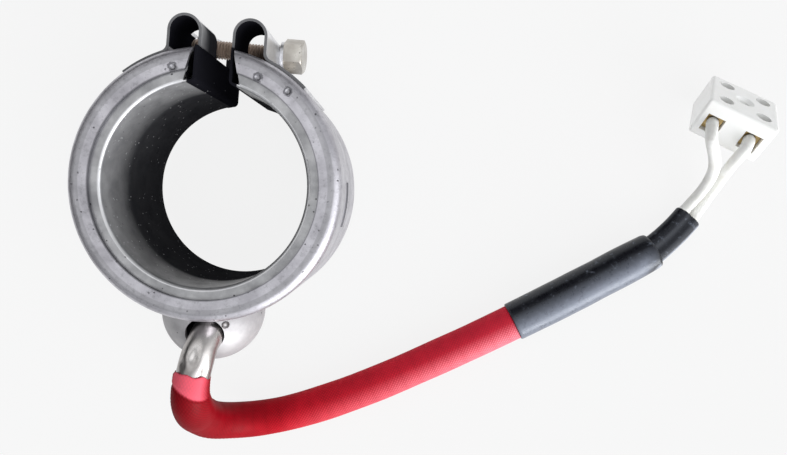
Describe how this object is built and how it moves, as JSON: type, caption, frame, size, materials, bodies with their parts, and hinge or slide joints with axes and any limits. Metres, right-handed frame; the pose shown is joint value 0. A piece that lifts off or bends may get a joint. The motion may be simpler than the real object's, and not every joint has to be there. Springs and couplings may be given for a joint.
{
  "type": "band heater",
  "caption": "Round band heater: split sheet-steel ring with looped clamp lugs and screw, terminal dome, elbow, sleeved lead and ceramic terminal block.",
  "frame": {"origin": "on the bore's axis at the middle of the band's width", "axes": "+Z along the bore, away from the face it stands on; +Y through the split and its clamp; the terminal dome points to -Y"},
  "size_m": [0.1848, 0.1183, 0.04],
  "materials": {
    "sheath_steel": "rolled, heat-dulled",
    "casing_steel": "dull rolled, pitted",
    "mica": "matt flaky",
    "resistance_alloy": "drawn",
    "ceramic_fibre": "matt felt",
    "bush_ceramic": "glazed",
    "plated_steel": "zinc plated",
    "dome_steel": "polished, pressed",
    "weld_steel": "dull tack",
    "tube_steel": "polished, dented",
    "lug_steel": "rolled sheet",
    "tarnished_steel": "tarnished",
    "red_sleeve": "woven, coated",
    "black_shrink": "glossy, scuffed",
    "white_braid": "braided",
    "glazed_ceramic": "glazed",
    "brass": "turned",
    "bare_nickel": "stranded",
    "screw_steel": "plated"
  },
  "bodies": {
    "band": {"inner_sheath": "sheath_steel", "outer_casing": "casing_steel", "inner_mica": "mica", "winding_card": "mica", "outer_mica": "mica", "resistance_ribbon": "resistance_alloy", "left_lead_strip": "resistance_alloy", "right_lead_strip": "resistance_alloy", "insulation_blanket": "ceramic_fibre", "terminal_bush": "bush_ceramic", "left_terminal_post": "plated_steel", "right_terminal_post": "plated_steel", "terminal_dome": "dome_steel", "dome_tack_weld": "weld_steel", "elbow_tube": "tube_steel", "left_clamp_lug": "lug_steel", "right_clamp_lug": "lug_steel", "clamp_nut": "plated_steel", "lead_sleeve": "red_sleeve", "shrink_tube": "black_shrink", "wire_shrink_tube": "black_shrink", "left_lead_wire": "white_braid", "right_lead_wire": "white_braid", "terminal_block": "glazed_ceramic", "left_connector": "brass", "right_connector": "brass", "left_conductor": "bare_nickel", "right_conductor": "bare_nickel"},
    "clamp_washer": {"clamp_washer": "plated_steel"},
    "clamp_screw": {"clamp_screw": "tarnished_steel"},
    "left_lead_terminal_screw": {"left_lead_terminal_screw": "screw_steel"},
    "left_supply_terminal_screw": {"left_supply_terminal_screw": "screw_steel"},
    "right_lead_terminal_screw": {"right_lead_terminal_screw": "screw_steel"},
    "right_supply_terminal_screw": {"right_supply_terminal_screw": "screw_steel"}
  },
  "joints": [
    {"name": "clamp_screw_travel", "type": "slide", "parent": "band", "child": "clamp_washer", "axis": [1, 0, 0], "range_m": [0, 0.004]},
    {"name": "clamp_screw_turn", "type": "hinge", "parent": "clamp_washer", "child": "clamp_screw", "pos_m": [0.0133, 0.0368, 0], "axis": [1, 0, 0], "range_deg": [0, 1800]},
    {"name": "left_lead_terminal_screw_turn", "type": "hinge", "parent": "band", "child": "left_lead_terminal_screw", "pos_m": [0.13197, 0.03342, -0.00239], "axis": [0.2138, 0.7591, 0.6149], "range_deg": [0, 720]},
    {"name": "left_supply_terminal_screw_turn", "type": "hinge", "parent": "band", "child": "left_supply_terminal_screw", "pos_m": [0.13624, 0.03932, -0.01116], "axis": [0.2138, 0.7591, 0.6149], "range_deg": [0, 720]},
    {"name": "right_lead_terminal_screw_turn", "type": "hinge", "parent": "band", "child": "right_lead_terminal_screw", "pos_m": [0.14135, 0.02932, -0.00058], "axis": [0.2138, 0.7591, 0.6149], "range_deg": [0, 720]},
    {"name": "right_supply_terminal_screw_turn", "type": "hinge", "parent": "band", "child": "right_supply_terminal_screw", "pos_m": [0.14562, 0.03522, -0.00935], "axis": [0.2138, 0.7591, 0.6149], "range_deg": [0, 720]}
  ],
  "couplings": [
    {"joint": "clamp_screw_turn", "follows": "clamp_screw_travel", "rad_per_m": 7854}
  ]
}
